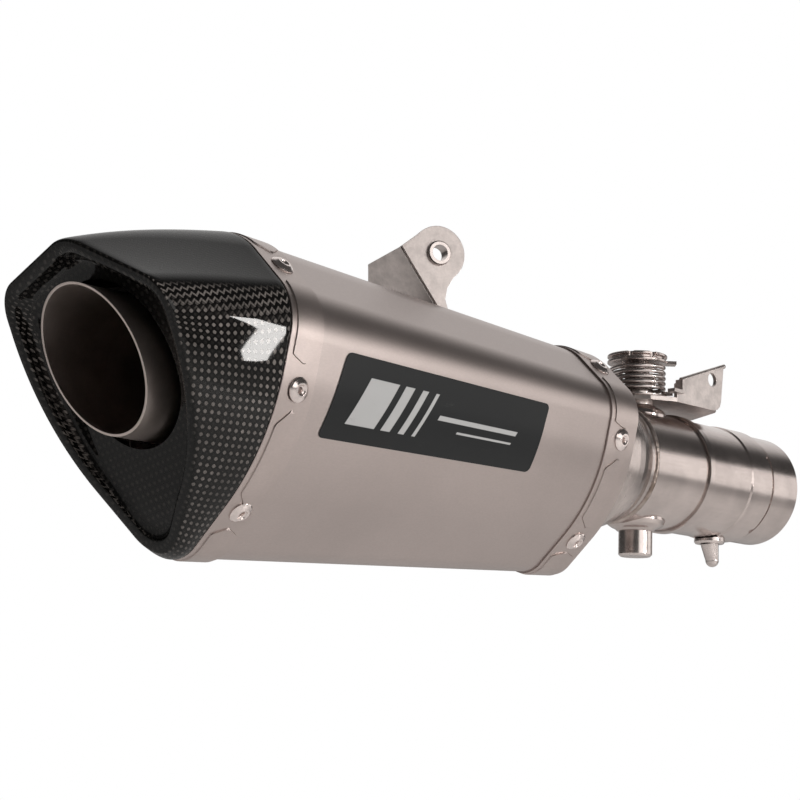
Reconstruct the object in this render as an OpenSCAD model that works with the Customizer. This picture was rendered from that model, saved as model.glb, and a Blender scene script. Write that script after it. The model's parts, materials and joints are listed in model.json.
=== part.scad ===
// Slip-on motorcycle racing exhaust: tapered titanium silencer with a moulded carbon end cap,
// six-sided shield section, and a cable-worked butterfly valve in the stainless inlet tube.
// Frame: origin at the centre of the inlet mouth, +X out of the mouth, +Z up along the valve spindle.
// Distances called "from the mouth" run backwards along -X.

/* [Inlet slip joint] */
// outside radius of the end sleeve
sleeve_r = 32; // [28:0.5:36]
// slip bore radius for a 60.5 mm pipe
slip_r = 30.25; // [25:0.05:34]
// depth of the slip bore
slip_depth = 38; // [25:1:60]
// where the bright end sleeve stops and the shell begins, from the mouth
shell_front = 27.6; // [20:0.5:40]
// where the expanded part of the shell steps down, from the mouth
shell_step = 47; // [40:1:60]
// radius of the expanded part of the shell
shell_r = 33.4; // [32.5:0.1:35]
// radius of the shell behind the step and of the valve body
tube_r = 32.7; // [32:0.1:35]
// radius of the four relief holes beside the sleeve edge
relief_r = 1.7; // [0.8:0.1:2.5]

/* [Exhaust valve] */
// spindle axis, from the mouth
spindle_from_mouth = 114.5; // [105:0.5:120]
// valve bore radius
valve_bore_r = 30.5; // [28:0.1:31]
// butterfly flap radius
flap_r = 29.8; // [25:0.1:30]
// flap thickness
flap_t = 2; // [1.5:0.1:3]
// spindle radius
spindle_r = 4; // [3:0.25:6]
// joint bead between inlet shell and valve body, from the mouth
bead_from_mouth = 87.5; // [80:0.5:95]
// rear end of the valve body, from the mouth
body_rear = 137; // [130:1:145]
// bearing housing radius
boss_r = 9.5; // [8:0.5:12]
// height of the closed lower boss below the axis
boss_low = 50; // [44:0.5:60]
// cable wheel radius
wheel_r = 17; // [14:0.5:22]
// underside of the cable wheel above the axis
wheel_z = 60; // [56:0.5:66]
// cable wheel height
wheel_h = 5; // [4:0.5:12]
// mean radius of the return spring
spring_r = 15; // [12:0.5:16]
// spring wire radius
wire_r = 1.3; // [0.8:0.1:1.5]
// number of spring coils
coils = 5; // [3:1:6]

/* [Silencer section] */
// height of the top ridge corner at the rear
ridge_h = 77.5; // [60:0.5:90]
// half width at the shoulders
shoulder_w = 56.3; // [40:0.5:70]
// height of the shoulder corners
shoulder_h = 40; // [25:0.5:60]
// half width at the flanks
flank_w = 53.4; // [35:0.5:70]
// depth of the flank corners below the axis
flank_h = 26.2; // [10:0.5:50]
// depth of the keel corner below the axis
keel_h = 93.3; // [70:0.5:110]
// rounding of the ridge
ridge_r = 41; // [20:1:60]
// rounding of the shoulders
corner_r = 27; // [10:1:35]
// rounding of the flanks
flank_r = 110; // [40:5:140]
// rounding of the keel
keel_r = 18.6; // [8:0.2:30]
// roll of the section about the tube axis
roll = 10; // [0:0.1:20]

/* [Silencer body] */
// seam between end cap and rear band, from the mouth
seam_s = 442; // [420:0.5:460]
// front edge of the front band, from the mouth
nose_s = 175; // [160:0.5:190]
// size of the section at the front edge against the rear seam
nose_scale = 0.79; // [0.6:0.01:1]
// width of the rear rivet band
rear_band_w = 21; // [15:0.5:35]
// width of the front rivet band
front_band_w = 24; // [15:0.5:35]
// sheet thickness of sleeve and bands
sheet_t = 1; // [0.6:0.1:2]
// how far the raised panels stand off the bands
pad_t = 0.9; // [0.5:0.1:2]
// rivet head radius
rivet_r = 5.9; // [4:0.1:7]
// rivet shank radius
shank_r = 2.4; // [1.6:0.1:3.2]

/* [End cap and outlet] */
// face of the end cap on the tube axis, from the mouth
face_s = 498.7; // [480:0.1:530]
// slant of the face
slant = 29.6; // [0:0.1:40]
// height of the ridge corner of the face
face_ridge = 51; // [40:0.5:70]
// half width of the face at its shoulders
face_shoulder_w = 54.3; // [40:0.1:65]
// height of the shoulder corners of the face
face_shoulder_h = 29.8; // [20:0.1:45]
// half width of the face at its flanks
face_flank_w = 55.2; // [40:0.1:65]
// depth of the flank corners of the face
face_flank_h = 25; // [10:0.5:50]
// depth of the keel corner of the face
face_keel = 89.5; // [70:0.5:105]
// roll of the face about the tube axis
face_roll = 4.7; // [0:0.1:20]
// sideways offset of the face
face_shift = 2.2; // [0:0.1:8]
// width of the rolled lip
lip_w = 5.5; // [3:0.5:10]
// depth of the recess round the outlet
recess = 10; // [4:0.5:16]
// how far the wall of the end cap bulges between seam and face
cap_bulge = 0.8; // [0:0.1:2]
// carbon wall thickness
carbon_t = 1.9; // [1.2:0.1:4]
// outlet pipe outside radius
pipe_r = 31.9; // [28:0.1:36]
// outlet pipe wall
pipe_t = 1.1; // [1:0.1:3]
// slant of the outlet rim
rim_slant = 28.7; // [0:0.1:40]
// outlet rim on the tube axis, from the mouth
rim_s = 504.4; // [490:0.1:540]
// radius of the hole in the end cap round the pipe
cap_hole_r = 35.6; // [33:0.1:42]

/* [Hanger] */
// eye position from the mouth
eye_s = 279.5; // [250:0.5:300]
// eye height above the axis
eye_z = 92.8; // [80:0.1:110]
// eye position towards the far side
eye_y = 4; // [0:0.5:20]
// turn of the ear plate away from the tube direction
ear_turn = 24; // [0:1:45]
// radius of the rounded ear
ear_r = 14.7; // [11:0.5:20]
// bracket sheet thickness
bracket_t = 3; // [2:0.5:5]
// bolt hole radius in the steel bush, M8 clearance
eye_r = 4.25; // [3.2:0.05:6]
// bush outside radius
bush_r = 6.5; // [5:0.25:9]

/* [Hidden] */
$fn = 96;
nose_from_seam = seam_s - nose_s;
taper = (1 - nose_scale) / nose_from_seam;
core_ro = 30.2;
core_ri = 29;
spindle_x = -spindle_from_mouth;
flange_z = 37.5;
flange_t = 2.5;
side_y = -22;
side_t = 2.2;
groove_front = shell_front - 3;
anchor_x = -72.5;
anchor_z = 55.2;
anchor_r = 4;
rear_rivet_s = 431;
front_rivet_s = 187;
// rivets: corner index where the flat starts and the fraction along it
rear_rivets_at = [[0, 0.55], [1, 0.58], [2, 0.45], [3, 0.55], [4, 0.42], [5, 0.45]];
front_rivets_at = [[0, 0.49], [1, 0.4], [2, 0.45], [3, 0.55], [4, 0.6], [5, 0.51]];

// ---- section of the silencer -------------------------------------------------------------

function unit(v) = v / norm(v);

// corners clockwise from the ridge: ridge, shoulder, flank, keel, and the far side again
function shield(ridge, shw, shh, flw, flh, keel) = [[0, ridge], [shw, shh], [flw, -flh],
    [0, -keel], [-flw, -flh], [-shw, shh]];
body_corners = shield(ridge_h, shoulder_w, shoulder_h, flank_w, flank_h, keel_h);
body_rounds = [ridge_r, corner_r, flank_r, keel_r, flank_r, corner_r];
face_corners = shield(face_ridge, face_shoulder_w, face_shoulder_h, face_flank_w, face_flank_h,
    face_keel);
face_rounds = [23.4, 16.4, 100, 18.6, 100, 16.4];
arc_steps = [8, 6, 8, 8, 8, 6];
flat_steps = [6, 4, 6, 6, 4, 6];

// one rounded corner, lifted by off: points from the start to the end of its arc
function corner(v, r, i, off) = let(
    u = unit(v[(i + 5) % 6] - v[i]),
    w = unit(v[(i + 1) % 6] - v[i]),
    half = acos(u * w) / 2,
    c = v[i] + unit(u + w) * r / sin(half),
    s = v[i] + u * r / tan(half) - c,
    a = atan2(s[1], s[0]),
    turn = 180 - 2 * half)
    [for (j = [0:arc_steps[i]]) c + (r + off) * [cos(a - turn * j / arc_steps[i]),
        sin(a - turn * j / arc_steps[i])]];

// closed ring of [side, up] points: arcs joined by stepped flats
function ring(v, rounds, off) = let(
    arcs = [for (i = [0:5]) corner(v, rounds[i], i, off)])
    [for (i = [0:5]) let(e = arcs[i][arc_steps[i]], n = arcs[(i + 1) % 6][0])
        each concat([for (j = [0:arc_steps[i] - 1]) arcs[i][j]],
            [for (j = [0:flat_steps[i] - 1]) e + (n - e) * j / flat_steps[i]])];

// section point to world [y, z], rolled by a and moved sideways by y0
function rolled(p, a, y0) = [-(p[0] * cos(a) + p[1] * sin(a)) + y0,
    -p[0] * sin(a) + p[1] * cos(a)];
function scale_at(s) = 1 - (seam_s - s) * taper;
base_ring = ring(body_corners, body_rounds, 0);
base_normal = ring(body_corners, body_rounds, 1) - base_ring;
// point j of the straight tapered body at distance s, lifted off the surface
function body_point(j, s, off) = let(
    q = rolled(base_ring[j] * scale_at(s) + base_normal[j] * off, roll, 0)) [-s, q[0], q[1]];
function body_ring(s, off) = [for (j = [0:len(base_ring) - 1]) body_point(j, s, off)];

// closed skin through a list of rings that meet end to end
module loop_skin(rings) {
    n = len(rings[0]);
    m = len(rings);
    polyhedron([for (r = rings) each r], [for (i = [0:m - 1], j = [0:n - 1]) each [
        [i * n + j, i * n + (j + 1) % n, ((i + 1) % m) * n + j],
        [i * n + (j + 1) % n, ((i + 1) % m) * n + (j + 1) % n, ((i + 1) % m) * n + j]]]);
}

// solid through a list of rings with flat ends
module solid_skin(rings) {
    n = len(rings[0]);
    m = len(rings);
    polyhedron([for (r = rings) each r], concat([[for (j = [0:n - 1]) j]],
        [for (i = [0:m - 2], j = [0:n - 1])
            [i * n + j, (i + 1) * n + j, (i + 1) * n + (j + 1) % n, i * n + (j + 1) % n]],
        [[for (j = [n - 1:-1:0]) (m - 1) * n + j]]));
}

// tapered tube of sheet between two distances
module body_tube(s0, s1, inner, outer) {
    loop_skin([body_ring(s0, inner), body_ring(s1, inner), body_ring(s1, outer),
        body_ring(s0, outer)]);
}

// flat plate in the section shape
module section_plate(s0, t, off) {
    translate([-s0, 0, 0])
        rotate([90, 0, 90])
            linear_extrude(t)
                polygon([for (p = body_ring(s0, off)) [p[1], p[2]]]);
}

// local frame on a flat of the body: +Z outwards, +X towards the mouth
module on_flat(at, s, lift) {
    v = body_corners * scale_at(s);
    a = v[at[0]];
    b = v[(at[0] + 1) % 6];
    p = rolled(a + (b - a) * at[1], roll, 0);
    n = rolled([-(b - a)[1], (b - a)[0]] / norm(b - a), roll, 0);
    tilt = atan(taper * abs(a[0] * b[1] - a[1] * b[0]) / norm(b - a) / scale_at(s));
    translate([-s, p[0], p[1]])
        rotate([atan2(-n[0], n[1]), 0, 0])
            rotate([0, tilt, 0])
                translate([0, 0, lift])
                    children();
}

// ---- silencer body -----------------------------------------------------------------------

module outer_sleeve() {
    color([0.58, 0.54, 0.52])
    difference() {
        body_tube(nose_s + 0.6, seam_s - 0.4, -sheet_t, 0);
        rivet_holes(rear_rivets_at, rear_rivet_s);
        rivet_holes(front_rivets_at, front_rivet_s);
        hanger_rivet_holes();
    }
}

module rivet_holes(places, s) {
    for (at = places)
        on_flat(at, s, -6)
            cylinder(r = shank_r, h = 12);
}

// band with a raised, pointed panel between each pair of rivets: the panel of ring point j is
// full width inside a [from, to] run, a point at its ends and nothing between runs
module band(s0, s1, mid, places, runs) {
    n = len(base_ring);
    full = (s1 - s0) * 0.36;
    tip = 0.6;
    step = 0.4;
    function depth_in(j) = max([for (r = runs) min((j - r[0] + n) % n, (r[1] - j + n) % n)
        * ((j - r[0] + n) % n <= r[1] - r[0] ? 1 : 0)]);
    function half(j) = depth_in(j) >= 2 ? full : depth_in(j) == 1 ? full * 0.62 : tip;
    function lift(j) = sheet_t + (depth_in(j) > 0 ? pad_t : 0);
    function edge(side, wide) = [for (j = [0:n - 1])
        body_point(j, mid + side * (half(j) + wide), wide > 0 ? sheet_t : lift(j))];
    difference() {
        loop_skin([body_ring(s0, 0.02), body_ring(s1, 0.02), body_ring(s1, sheet_t),
            edge(1, step), edge(1, 0), edge(-1, 0), edge(-1, step), body_ring(s0, sheet_t)]);
        rivet_holes(places, mid);
    }
}

module rear_band() {
    color([0.62, 0.58, 0.56])
        band(seam_s - rear_band_w, seam_s, rear_rivet_s, rear_rivets_at,
            [[13, 23], [26, 31], [35, 49], [53, 58], [61, 71], [76, 84]]);
}

module front_band() {
    color([0.62, 0.58, 0.56])
        band(nose_s, nose_s + front_band_w, front_rivet_s, front_rivets_at,
            [[12, 21], [25, 31], [35, 49], [53, 59], [63, 73], [77, 84]]);
}

// blind rivet: dished head with a hollow centre, shank and crimped tail
module rivet(grip) {
    head_h = 2.2;
    rotate_extrude()
        polygon([[1.2, -grip - 1.6], [shank_r - 0.05, -grip - 1.6], [shank_r - 0.05, 0],
            [rivet_r, 0], [rivet_r, 0.5], [rivet_r - 0.7, 1.1], [rivet_r - 1.9, 1.8],
            [3.4, head_h], [2.5, head_h], [2.1, 1.6], [1.5, 1.3], [1.2, 0.6]]);
}

module rear_rivets() {
    color([0.8, 0.78, 0.76])
    for (at = rear_rivets_at)
        on_flat(at, rear_rivet_s, sheet_t + 0.04)
            rivet(2.3);
}

module front_rivets() {
    color([0.8, 0.78, 0.76])
    for (at = front_rivets_at)
        on_flat(at, front_rivet_s, sheet_t + 0.04)
            rivet(2.3);
}

// ---- carbon end cap ----------------------------------------------------------------------

// face plane at height z
function face_x(z) = -face_s - tan(slant) * z;
// recess depth fades out towards the keel
function depth_at(z) = recess * max(0.4, min(1, 1 + (z + 15) / 75));

// ring of the moulded wall: t runs 0 at the seam to 1 at the face
function wall_ring(t, off) = let(
    v = body_corners + (face_corners - body_corners) * t,
    rounds = body_rounds + (face_rounds - body_rounds) * t)
    [for (p = ring(v, rounds, off + sheet_t + cap_bulge * sin(180 * t)))
        let(q = rolled(p, roll + (face_roll - roll) * t, face_shift * t))
        [-(seam_s + 0.5) * (1 - t) + face_x(q[1]) * t, q[0], q[1]]];

// ring inside the face: q runs 0 at the lip to 1 at the pipe hole, d is a share of the depth
function floor_ring(q, d, extra) = let(lip = wall_ring(1, -lip_w))
    [for (p = lip) let(a = atan2(p[2], p[1]),
        y = p[1] * (1 - q) + cap_hole_r * cos(a) * q,
        z = p[2] * (1 - q) + cap_hole_r * sin(a) * q)
        [face_x(z) + depth_at(z) * d + extra, y, z]];

module end_cap() {
    color([0.08, 0.08, 0.09])
    loop_skin(concat(
        [for (t = [0, 0.12, 0.25, 0.4, 0.55, 0.7, 0.84, 0.96]) wall_ring(t, 0)],
        [wall_ring(0.985, -0.25), wall_ring(0.997, -0.9), wall_ring(1, -1.9), wall_ring(1, -3.6)],
        [floor_ring(0, 0.12, 0), floor_ring(0.04, 0.55, 0), floor_ring(0.16, 0.9, 0),
            floor_ring(0.4, 1, 0), floor_ring(1, 1, 0), floor_ring(1, 1, carbon_t),
            floor_ring(0.4, 1, carbon_t)],
        [for (t = [0.74, 0.6, 0.4, 0.2, 0]) wall_ring(t, -carbon_t)]));
}

// ---- gas path ----------------------------------------------------------------------------

module tube(s0, s1, ro, ri) {
    translate([-s1, 0, 0])
        rotate([0, 90, 0])
            difference() {
                cylinder(r = ro, h = s1 - s0);
                translate([0, 0, -1])
                    cylinder(r = ri, h = s1 - s0 + 2);
            }
}

module outlet_pipe() {
    color([0.72, 0.68, 0.64])
    difference() {
        tube(420, 530, pipe_r, pipe_r - pipe_t);
        translate([-rim_s, 0, 0])
            rotate([0, -rim_slant, 0])
                translate([-60, -50, -60])
                    cube([60, 100, 120]);
    }
}

module rear_bulkhead() {
    color([0.6, 0.6, 0.6])
    difference() {
        union() {
            section_plate(seam_s - 4, 2, -sheet_t - 0.1);
            tube(seam_s - 10, seam_s - 3, pipe_r + 2, pipe_r);
        }
        translate([-seam_s - 10, 0, 0])
            rotate([0, 90, 0])
                cylinder(r = pipe_r, h = 30);
    }
}

module perforated_core() {
    rows = 11;
    pitch = 22;
    color([0.66, 0.66, 0.66])
    difference() {
        tube(140, 428, core_ro, core_ri);
        for (i = [0:rows - 1], a = [0, 60, 120])
            translate([-188 - i * pitch, 0, 0])
                rotate([a + (i % 2) * 30, 0, 0])
                    translate([0, 0, -40])
                        cylinder(r = 3, h = 80);
    }
}

module packing() {
    clear = sheet_t + 2.6;
    color([0.93, 0.9, 0.78])
    difference() {
        solid_skin([body_ring(seam_s - 12, -clear), body_ring(nose_s + 4, -clear)]);
        rotate([0, 90, 0])
            rotate_extrude()
                polygon([[0, -seam_s], [pipe_r + 0.4, -seam_s], [pipe_r + 0.4, -418],
                    [core_ro + 0.4, -418], [core_ro + 0.4, -nose_s], [0, -nose_s]]);
    }
}

// stainless front cap: plate in the section shape and a rolled neck down to the valve body
module inlet_cap() {
    plate_s = nose_s + 2.2;
    color([0.66, 0.64, 0.62])
    difference() {
        union() {
            section_plate(plate_s, 1.6, -sheet_t - 0.1);
            rotate([0, 90, 0])
                rotate_extrude()
                    polygon([[tube_r - 0.1, -plate_s + 1.4], [41, -plate_s + 1.4],
                        [41.3, -plate_s + 4], [41, -plate_s + 9], [40.2, -plate_s + 15],
                        [38.9, -plate_s + 21], [37.2, -plate_s + 26], [35.4, -plate_s + 30],
                        [34, -plate_s + 33.5], [33.2, -body_rear - 2], [tube_r - 0.1, -body_rear - 2]]);
        }
        translate([-plate_s - 5, 0, 0])
            rotate([0, 90, 0])
                cylinder(r = core_ro + 0.1, h = 60);
        rotate([0, 90, 0])
            rotate_extrude()
                polygon([[core_ro, -plate_s - 5], [core_ro, -plate_s + 1.59], [39.2, -plate_s + 1.6],
                    [38.6, -plate_s + 15], [35.6, -plate_s + 26], [32.2, -body_rear - 3],
                    [core_ro, -body_rear - 3]]);
    }
}

// round weld or rolled bead round the tube
module ring_bead(s, r, w, h) {
    translate([-s, 0, 0])
        rotate([0, 90, 0])
            rotate_extrude()
                translate([r, 0])
                    intersection() {
                        circle(r = w);
                        translate([0, -w])
                            square([h, 2 * w]);
                    }
}

module neck_weld() {
    color([0.55, 0.53, 0.51])
    difference() {
        translate([0, 0, 0])
            ring_bead(body_rear + 1, tube_r, 1.9, 1.6);
        translate([-body_rear - 10, 0, 0])
            rotate([0, 90, 0])
                cylinder(r = tube_r + 0.02, h = 20);
        rotate([0, 90, 0])
            translate([0, 0, -body_rear - 12])
                cylinder(r = 33.42, h = 10.05);
    }
}

module mid_weld() {
    color([0.72, 0.7, 0.68])
    ring_bead(bead_from_mouth, tube_r + 0.02, 2.6, 1.5);
}

module valve_body() {
    color([0.7, 0.68, 0.66])
    difference() {
        union() {
            tube(bead_from_mouth + 0.3, body_rear, tube_r, valve_bore_r - 1);
            for (m = [0, 1])
                translate([spindle_x, 0, 0])
                    mirror([0, 0, m])
                        rotate_extrude()
                            polygon([[boss_r - 0.5, 26], [16.4, 26], [16.6, 30], [15.6, 32.2],
                                [13.6, 33.6], [11.6, 34.5], [10.4, 35.6], [boss_r - 0.5, 36]]);
        }
        translate([-body_rear - 10, 0, 0])
            rotate([0, 90, 0])
                cylinder(r = valve_bore_r, h = 90);
        translate([spindle_x, 0, -60])
            cylinder(r = boss_r, h = 120);
    }
}

module inlet_shell() {
    color([0.74, 0.72, 0.7])
    difference() {
        rotate([0, 90, 0])
            rotate_extrude()
                polygon([[31.75, -bead_from_mouth - 0.2], [tube_r, -bead_from_mouth - 0.2],
                    [tube_r, -shell_step - 1.2], [shell_r, -shell_step], [shell_r, -shell_front - 0.6],
                    [shell_r - 0.5, -shell_front], [31.75, -shell_front]]);
        for (a = [66, 146, 246, 326])
            rotate([a, 0, 0])
                translate([-shell_front - 1.1, 0, 30])
                    cylinder(r = relief_r, h = 8);
        translate([-44, 0, 0])
            rotate([180, 0, 0])
                cylinder(r = 4.6, h = 50);
    }
}

module inlet_sleeve() {
    color([0.78, 0.76, 0.74])
    difference() {
        rotate([0, 90, 0])
            rotate_extrude()
                polygon([[slip_r, 0], [slip_r, -slip_depth], [29, -slip_depth - 2],
                    [29, -bead_from_mouth + 1], [31.6, -bead_from_mouth + 1],
                    [31.6, -shell_front - 0.1], [31.1, -shell_front], [31.1, -groove_front],
                    [sleeve_r, -groove_front + 0.2], [sleeve_r, -0.5],
                    [sleeve_r - 0.5, 0]]);
        translate([-44, 0, 0])
            rotate([180, 0, 0])
                cylinder(r = 4.6, h = 50);
    }
}

// ---- valve gear --------------------------------------------------------------------------

module housing(z1, blind) {
    difference() {
        rotate_extrude()
            polygon([[0, 26], [boss_r, 26], [boss_r, z1 - 1.2], [boss_r - 1.2, z1], [0, z1]]);
        translate([-60, 0, 0])
            rotate([0, 90, 0])
                cylinder(r = valve_bore_r, h = 120);
        translate([0, 0, 20])
            cylinder(r = 6.5, h = z1 - 20 + (blind ? -3 : 1));
    }
}

module upper_housing() {
    color([0.75, 0.73, 0.71])
    translate([spindle_x, 0, 0])
        housing(46, false);
}

module lower_housing() {
    color([0.75, 0.73, 0.71])
    translate([spindle_x, 0, 0])
        mirror([0, 0, 1])
            housing(boss_low, true);
}

module bush(z0, z1) {
    difference() {
        translate([spindle_x, 0, z0])
            cylinder(r = 6.5, h = z1 - z0);
        translate([spindle_x, 0, z0 - 1])
            cylinder(r = spindle_r + 0.05, h = z1 - z0 + 2);
    }
}

module upper_bush() {
    color([0.5, 0.42, 0.3])
    bush(31, 46);
}

module lower_bush() {
    color([0.5, 0.42, 0.3])
    bush(-45, -31);
}

module spindle() {
    color([0.7, 0.7, 0.7])
    difference() {
        translate([spindle_x, 0, 0])
            rotate_extrude()
                polygon([[0, -46.3], [spindle_r - 0.5, -46.3], [spindle_r, -45.8],
                    [spindle_r, wheel_z + 1.2], [3, wheel_z + 1.2], [3, wheel_z + 6],
                    [2.5, wheel_z + 6.5], [0, wheel_z + 6.5]]);
        translate([spindle_x - flap_t / 2 - 0.05, -10, -30.2])
            cube([flap_t + 0.1, 20, 60.4]);
        flap_screw_holes();
    }
}

module flap_screw_holes() {
    for (z = [-15, 15])
        translate([spindle_x - 10, 0, z])
            rotate([0, 90, 0])
                cylinder(r = 1.65, h = 20);
}

module flap() {
    color([0.62, 0.6, 0.58])
    difference() {
        translate([spindle_x - flap_t / 2, 0, 0])
            rotate([0, 90, 0])
                cylinder(r = flap_r, h = flap_t);
        flap_screw_holes();
    }
}

// pan-head screws through spindle and flap
module flap_screws() {
    color([0.5, 0.5, 0.5])
    for (z = [-15, 15])
        translate([spindle_x, 0, z])
            rotate([0, 90, 0])
                rotate_extrude()
                    polygon([[0, -5.2], [1.6, -5.2], [1.6, spindle_r + 0.05], [2.9, spindle_r + 0.05],
                        [2.9, spindle_r + 1.2], [2.2, spindle_r + 1.9], [0, spindle_r + 1.9]]);
}

// cable wheel: hub, web, grooved rim with nipple pockets and a stop tab
module cable_wheel() {
    top = wheel_z + wheel_h;
    color([0.6, 0.58, 0.56])
    translate([spindle_x, 0, 0])
    difference() {
        union() {
            rotate_extrude()
                polygon([[spindle_r + 0.02, 47], [7, 47], [7, wheel_z], [wheel_r - 0.4, wheel_z],
                    [wheel_r, wheel_z + 0.4], [wheel_r, wheel_z + 1.4], [wheel_r - 1.6, wheel_z + 2],
                    [wheel_r - 1.6, wheel_z + 3], [wheel_r, wheel_z + 3.6], [wheel_r, top - 0.4],
                    [wheel_r - 0.4, top], [wheel_r - 3.4, top], [wheel_r - 3.4, wheel_z + 1.2],
                    [spindle_r + 0.02, wheel_z + 1.2]]);
            rotate([0, 0, -46])
                translate([wheel_r - 3, -3.5, wheel_z])
                    cube([8, 7, 1.8]);
        }
        for (a = [100, 205, 250])
            rotate([0, 0, a])
                translate([wheel_r - 0.4, 0, wheel_z + 2.4])
                    cylinder(r = 1.9, h = 10);
    }
}

module wheel_nut() {
    z = wheel_z + 1.2;
    color([0.7, 0.7, 0.7])
    difference() {
        translate([spindle_x, 0, z])
            cylinder(r = 5.8, h = 4.8, $fn = 6);
        translate([spindle_x, 0, z - 1])
            cylinder(r = 3, h = 8);
    }
}

// torsion spring: helix with a radial leg at the bottom, swept round section
module return_spring() {
    steps = 20;
    z0 = 42.7;
    pitch = 2.98;
    sides = 8;
    count = coils * steps;
    function on_helix(i) = let(a = -60 + i * 360 / steps)
        [spring_r * cos(a), spring_r * sin(a), z0 + pitch * i / steps];
    leg = [for (r = [20.4, 18.6]) [r * cos(-60), r * sin(-60), z0]];
    path = concat(leg, [for (i = [0:count]) on_helix(i)]);
    n = len(path);
    function circle_at(i) = let(t = unit(path[min(n - 1, i + 1)] - path[max(0, i - 1)]),
        s = unit(cross(t, [0, 0, 1])), u = cross(s, t))
        [for (j = [0:sides - 1]) path[i] + wire_r * (s * cos(j * 360 / sides)
            + u * sin(j * 360 / sides))];
    color([0.66, 0.64, 0.62])
    translate([spindle_x, 0, 0])
        solid_skin([for (i = [0:n - 1]) circle_at(i)]);
}

module spring_seat() {
    color([0.72, 0.7, 0.68])
    translate([spindle_x, 0, flange_z + flange_t])
        rotate_extrude()
            polygon([[boss_r, 0], [16.8, 0], [17, 0.3], [17, 1], [14.5, 1.2], [boss_r, 1.2]]);
}

// folded cable bracket: flange round the bearing, upright cheek with the cable hole, rolled hem
module cable_bracket() {
    top_l = [-101, 51];
    top_r = [-61.5, 64.5];
    hem_a = atan2(top_r[1] - top_l[1], top_r[0] - top_l[0]);
    color([0.64, 0.62, 0.6])
    difference() {
        union() {
            translate([0, 0, flange_z])
                linear_extrude(flange_t)
                    polygon([[-127, -8], [-121, -15], [-106, side_y], [-71, side_y], [-67, side_y + 1.2],
                        [-63.8, side_y + 4.2], [-50, 9], [-53, 12], [-92, 19], [-127, 16]]);
            translate([0, side_y + side_t, 0])
                rotate([90, 0, 0])
                    linear_extrude(side_t)
                        polygon([[-106, flange_z], [-71, flange_z], [-67.2, flange_z + 0.9],
                            [-65, flange_z + 2.8], [-63.8, flange_z + 6], top_r, top_l, [-106, 48]]);
            translate([top_l[0], side_y + side_t / 2, top_l[1]])
                rotate([0, 90 - hem_a, 0])
                    cylinder(r = 1.3, h = norm(top_r - top_l) + 2);
            translate([-113.5, side_y - 4, 42])
                cube([9.5, 5, 2]);
            translate([-106.2, side_y - 4, 42])
                cube([2.2, 5, 8]);
        }
        translate([spindle_x, 0, 30])
            cylinder(r = boss_r, h = 20);
        translate([anchor_x, side_y + 10, anchor_z])
            rotate([90, 0, 0])
                cylinder(r = anchor_r, h = 20);
    }
}

// welded sampling nipple with a ball-ended plug
module sampling_nipple() {
    color([0.7, 0.68, 0.66])
    translate([-44, 0, 0])
    difference() {
        rotate([180, 0, 0])
            union() {
                translate([0, 0, 29])
                    cylinder(r = 4.6, h = 6);
                rotate_extrude()
                    polygon([[0, 32], [8.8, 32], [9, 34.6], [8.2, 35.8], [0, 36]]);
                translate([0, 0, 35])
                    rotate([0, 15, 0])
                        cylinder(r1 = 5.4, r2 = 3.9, h = 10);
                translate([0, 0, 35])
                    rotate([0, 15, 0])
                        translate([0, 0, 10.6])
                            sphere(r = 3.9);
            }
        translate([-30, 0, 0])
            rotate([0, 90, 0])
                cylinder(r = shell_r + 0.02, h = 60);
    }
}

// ---- hanger ------------------------------------------------------------------------------

hanger_rivets_at = [[-22, 5], [-10.5, 5], [15, 5]];

// local frame on the far upper flat below the eye
module hanger_frame() {
    on_flat([5, 0.5], 272, 0)
        children();
}

// local frame at the eye: +X along the ear plate, -Y out of its near face
module ear_frame() {
    translate([-eye_s, eye_y, eye_z])
        rotate([0, 0, -ear_turn])
            children();
}

module hanger_rivet_holes() {
    for (p = hanger_rivets_at)
        hanger_frame()
            translate([p[0], p[1], -6])
                cylinder(r = shank_r, h = 14);
}

// folded hanger: foot on the far upper flat, sloping web and upright ear with the eye
module hanger_bracket() {
    fold = [-20.7, 1.8];
    fold_x = -eye_s + fold[0] * cos(ear_turn);
    fold_y = eye_y - fold[0] * sin(ear_turn);
    web_a = 56.9;
    foot_t = bracket_t - 0.5;
    color([0.78, 0.76, 0.74])
    difference() {
        union() {
            ear_frame()
                translate([0, bracket_t / 2, 0])
                    rotate([90, 0, 0])
                        linear_extrude(bracket_t)
                            union() {
                                circle(r = ear_r);
                                polygon([fold, [-7.4, 12.7], [0, 0], [13, -6.9], [8.4, -12.5],
                                    [5.3, -18], [4.4, -24], [6, -29], [12, -34], [12, -40], [9, -40]]);
                            }
            translate([fold_x, fold_y, eye_z + fold[1]])
                rotate([0, web_a, 0])
                    translate([0, 0, -bracket_t / 2])
                        linear_extrude(bracket_t)
                            polygon([[0, -0.5], [60, -14.5], [60, 20], [15, 30], [9, 27], [6, 25.6]]);
            hanger_frame()
                translate([0, 0, -0.8])
                    linear_extrude(foot_t + 0.8)
                        polygon([[-32, -2], [-29, -5], [20, -5], [23, -2], [23, 13], [20, 16],
                            [-29, 16], [-32, 13]]);
        }
        hanger_frame()
            translate([-150, -100, -99.92])
                cube([300, 200, 100]);
        ear_frame()
            translate([0, 20, 0])
                rotate([90, 0, 0])
                    cylinder(r = bush_r, h = 40);
        hanger_rivet_holes();
    }
}

module hanger_bush() {
    color([0.8, 0.8, 0.8])
    ear_frame()
        rotate([90, 0, 0])
            difference() {
                rotate_extrude()
                    polygon([[0, -4.5], [bush_r - 0.5, -4.5], [bush_r, -4], [bush_r, 3],
                        [bush_r - 0.6, 3.6], [0, 3.6]]);
                translate([0, 0, -10])
                    cylinder(r = eye_r, h = 20);
            }
}

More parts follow.
